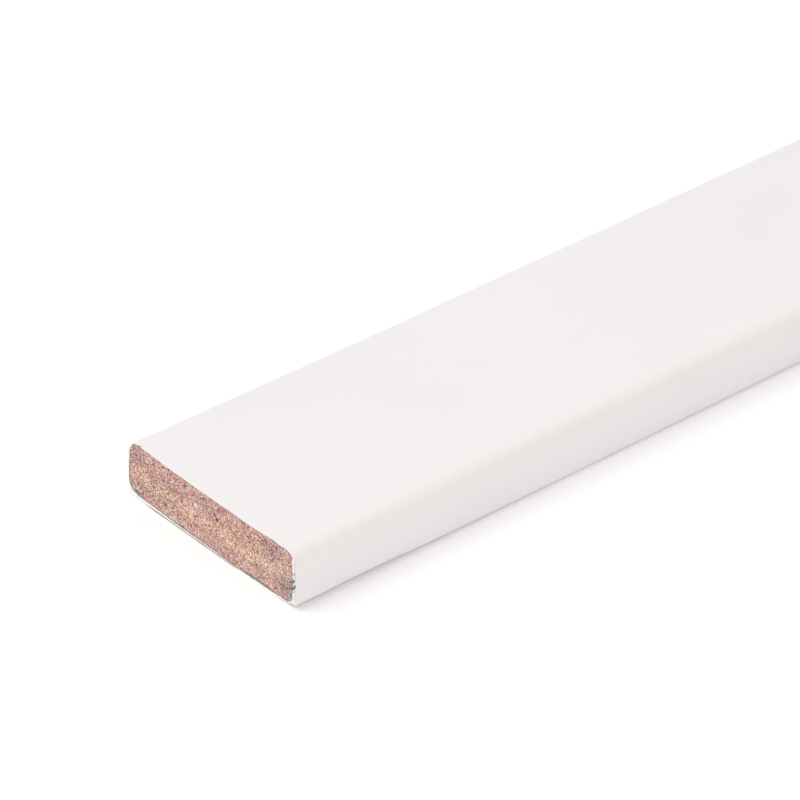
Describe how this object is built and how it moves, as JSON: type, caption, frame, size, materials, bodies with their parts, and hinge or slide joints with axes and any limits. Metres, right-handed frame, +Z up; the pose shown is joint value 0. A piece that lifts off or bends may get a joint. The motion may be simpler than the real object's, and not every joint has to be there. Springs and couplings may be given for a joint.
{
  "type": "cover strip",
  "caption": "Flat hardwood cover strip with rounded long edges and square sawn ends, primed white on its faces and edges, laid over a joint to hide it.",
  "frame": {"origin": "middle of the back face, which is the bottom centre of the strip as it lies", "axes": "+X along the strip, +Y across its width, +Z up out of the show face"},
  "size_m": [2.4, 0.045, 0.011],
  "materials": {
    "primed_hardwood": "white satin primer on the faces and long edges, bare reddish-brown hardwood on the sawn ends"
  },
  "bodies": {
    "root": {"cover_strip": "primed_hardwood"}
  },
  "joints": []
}
